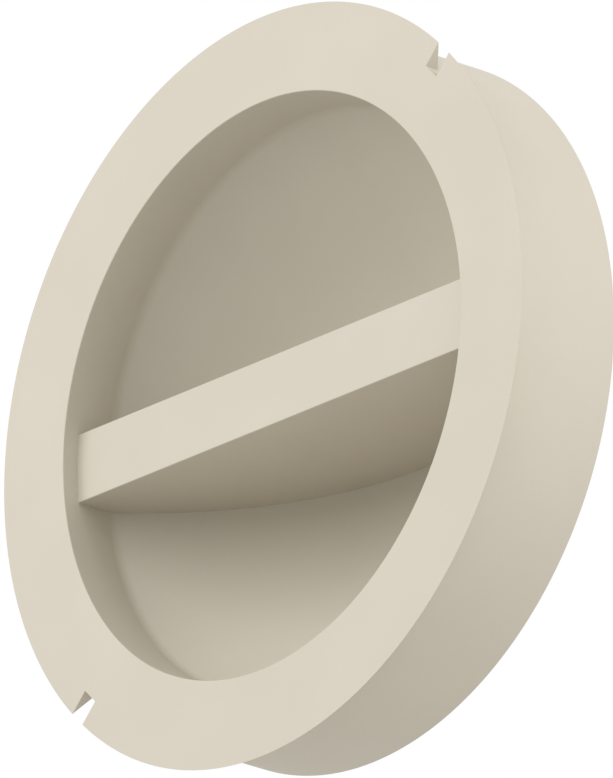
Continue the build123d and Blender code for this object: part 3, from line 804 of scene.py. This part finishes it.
class SPRINKLER_OT_support_cup(bpy.types.Operator):
    """Make the drawn support cup with its vents"""

    bl_idname = "sprinkler.support_cup"
    bl_label = "Support cup"

    def execute(self, context):
        cup = context.scene.sprinkler_cup
        low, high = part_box("support_cup")
        radius = high.x
        shoulder = FACE_Y + cup.shoulder_depth
        slope = atan2(radius - cup.floor_radius, high.y - shoulder)
        shoulder_mitre = cup.sheet * sin(slope / 2) / cos(slope / 2)
        floor_turn = (pi / 2 - slope) / 2
        floor_mitre = cup.sheet * sin(floor_turn) / cos(floor_turn)
        inside = radius - cup.sheet
        corners = [
            (cup.hole_radius, high.y),
            (cup.floor_radius, high.y),
            (radius, shoulder),
            (radius, low.y),
            (inside, low.y),
            (inside, shoulder - shoulder_mitre),
            (cup.floor_radius - floor_mitre, high.y - cup.sheet),
            (cup.hole_radius, high.y - cup.sheet),
        ]
        mesh = spun(corners, context.scene.sprinkler_cap.steps)
        rounded(mesh, ring_edges(mesh, [corners[1], corners[2]]), cup.bend, segments=5)
        rounded(mesh, ring_edges(mesh, [corners[0], corners[3], corners[4], corners[7]]), cup.edge)
        made = as_object(mesh, "drawn_support_cup")
        cut(made, as_object(self.vent_tools(cup, shoulder, high.y + CLEAR), "vents"), "DIFFERENCE")
        body = context.scene.sprinkler_body
        front = high.y - cup.sheet
        holes = fixing_rods(body, body.pin_radius + cup.pin_gap, front - CLEAR, high.y + CLEAR)
        cut(made, as_object(holes, "fixings"), "DIFFERENCE")
        cut(made, as_object(self.rivet_sinks(cup, body, front), "sinks"), "DIFFERENCE")
        smoothed(made)
        stands_for(made, "head", "plated_steel", "support_cup")
        return {"FINISHED"}

    def vent_tools(self, cup, start, end):
        """Give the tools that pierce the round-ended vents."""
        tools = bmesh.new()
        half = (cup.vent_length - cup.vent_width) / 2
        for number in range(cup.vents):
            tool = rod(cup.vent_width / 2, start, end, sides=40)
            for vert in tool.verts:
                vert.co.z += half if vert.co.z > 0 else -half
            bmesh.ops.translate(tool, vec=(cup.vent_circle, 0, 0), verts=tool.verts)
            turn = Matrix.Rotation(2 * pi * (number + 0.5) / cup.vents, 3, "Y")
            bmesh.ops.rotate(tool, cent=(0, 0, 0), matrix=turn, verts=tool.verts)
            add_mesh(tools, tool)
        return tools

    def rivet_sinks(self, cup, body, front):
        """Give the cones that sink the rivet holes, each starting in front of the sheet."""
        head = cup.rivet_head + body.fit_gap
        bottom = body.rivet_radius + body.fit_gap
        lead = CLEAR
        length = lead + head - bottom
        tools = bmesh.new()
        for x, z in rivet_places(body):
            sink = bmesh.new()
            bmesh.ops.create_cone(
                sink, cap_ends=True, segments=32, radius1=head + lead, radius2=bottom, depth=length
            )
            turn = Matrix.Rotation(-pi / 2, 3, "X")
            bmesh.ops.rotate(sink, cent=(0, 0, 0), matrix=turn, verts=sink.verts)
            bmesh.ops.translate(sink, vec=(x, front - lead + length / 2, z), verts=sink.verts)
            add_mesh(tools, sink)
        return tools


class SPRINKLER_OT_cad_finishes(bpy.types.Operator):
    """Give every CAD node its finish"""

    bl_idname = "sprinkler.cad_finishes"
    bl_label = "Finishes of the inner parts"

    def execute(self, context):
        slots = {part["node"]: part["material_slot"] for part in frame["record"]["subparts"]}
        for name, piece in frame["nodes"].items():
            finish = finish_of(slots[name])
            if not piece.material_slots:
                piece.data.materials.append(finish)
            for material_slot in piece.material_slots:
                material_slot.material = finish
        return {"FINISHED"}


class SPRINKLER_OT_stage(bpy.types.Operator):
    """Set up the floor, the lights and the camera"""

    bl_idname = "sprinkler.stage"
    bl_label = "Stage"

    def execute(self, context):
        scene = context.scene
        stage = scene.sprinkler_stage
        self.make_camera(scene, stage)
        self.make_floor(scene)
        self.make_world(scene, stage)
        self.make_softbox("key", Vector(stage.key_place), stage.key_size, stage.key_strength)
        self.make_softbox("side", Vector(stage.side_place), stage.side_size, stage.side_strength)
        scene.view_settings.view_transform = "Standard"
        return {"FINISHED"}

    def make_camera(self, scene, stage):
        """Place the camera for a view of a given height at the object."""
        towards = Vector((
            sin(stage.azimuth) * cos(stage.elevation),
            -cos(stage.azimuth) * cos(stage.elevation),
            sin(stage.elevation),
        ))
        right = Vector((cos(stage.azimuth), sin(stage.azimuth), 0))
        up = towards.cross(right)
        aim = Vector((0, FACE_Y, 0)) + right * stage.aim_right - up * stage.aim_down
        data = bpy.data.cameras.new("camera")
        data.lens = stage.lens
        distance = stage.view_height * data.lens / data.sensor_width
        data.clip_start = distance / 10
        data.clip_end = distance * 10
        camera = bpy.data.objects.new("camera", data)
        camera.matrix_world = Matrix((right, up, towards)).transposed().to_4x4()
        camera.location = aim + towards * distance
        scene.collection.objects.link(camera)
        scene.camera = camera

    def make_floor(self, scene):
        """Lay a plain pale floor, below both the object and the camera."""
        mesh = bmesh.new()
        bmesh.ops.create_grid(mesh, x_segments=1, y_segments=1, size=FLOOR_HALF_SIZE)
        bmesh.ops.translate(mesh, vec=(0, 0, FLOOR_Z), verts=mesh.verts)
        floor = as_object(mesh, "floor")
        floor.data.materials.append(stage_paint(tuple(scene.sprinkler_finish.floor)))

    def make_world(self, scene, stage):
        """Show white behind the object, and light it softly from all round."""
        world = bpy.data.worlds.new("world")
        world.use_nodes = True
        tree = world.node_tree
        tree.nodes.clear()
        seen = add_node(tree, "ShaderNodeBackground", inputs={"Color": (1, 1, 1, 1), "Strength": 1.0})
        fill_inputs = {"Color": (1, 1, 1, 1), "Strength": stage.fill_strength}
        fill = add_node(tree, "ShaderNodeBackground", inputs=fill_inputs)
        direct = add_node(tree, "ShaderNodeLightPath").outputs["Is Camera Ray"]
        mixed = {0: direct, 1: fill.outputs[0], 2: seen.outputs[0]}
        both = add_node(tree, "ShaderNodeMixShader", inputs=mixed)
        add_node(tree, "ShaderNodeOutputWorld", inputs={"Surface": both.outputs["Shader"]})
        scene.world = world

    def make_softbox(self, name, place, size, strength):
        """Place a square softbox that faces the object."""
        data = bpy.data.lights.new(name, "AREA")
        data.size = size
        data.energy = strength
        light = bpy.data.objects.new(name, data)
        light.rotation_mode = "QUATERNION"
        light.location = place
        light.rotation_quaternion = place.to_track_quat("Z", "Y")
        bpy.context.scene.collection.objects.link(light)


class SPRINKLER_PT_panel(bpy.types.Panel):
    """Lists the steps that finish the sprinkler head"""

    bl_idname = "SPRINKLER_PT_panel"
    bl_label = "Sprinkler head"
    bl_space_type = "VIEW_3D"
    bl_region_type = "UI"
    bl_category = "Sprinkler"

    def draw(self, context):
        for operator in OPERATORS:
            self.layout.operator(operator.bl_idname)


SETTINGS = {
    "sprinkler_cap": CapSettings,
    "sprinkler_body": BodySettings,
    "sprinkler_cup": CupSettings,
    "sprinkler_finish": FinishSettings,
    "sprinkler_stage": StageSettings,
}
OPERATORS = (
    SPRINKLER_OT_cad_finishes,
    SPRINKLER_OT_face_shell,
    SPRINKLER_OT_recess_bowl,
    SPRINKLER_OT_grip_bar,
    SPRINKLER_OT_brass_body,
    SPRINKLER_OT_support_cup,
    SPRINKLER_OT_stage,
)


def register():
    for name, settings in SETTINGS.items():
        bpy.utils.register_class(settings)
        setattr(bpy.types.Scene, name, bpy.props.PointerProperty(type=settings))
    for operator in OPERATORS:
        bpy.utils.register_class(operator)
    bpy.utils.register_class(SPRINKLER_PT_panel)


def unregister():
    bpy.utils.unregister_class(SPRINKLER_PT_panel)
    for operator in reversed(OPERATORS):
        bpy.utils.unregister_class(operator)
    for name, settings in reversed(SETTINGS.items()):
        delattr(bpy.types.Scene, name)
        bpy.utils.unregister_class(settings)


def main():
    """Make every piece and the stage."""
    register()
    for operator in OPERATORS:
        group, step = operator.bl_idname.split(".")
        getattr(getattr(bpy.ops, group), step)()


if __name__ == "__main__":
    main()
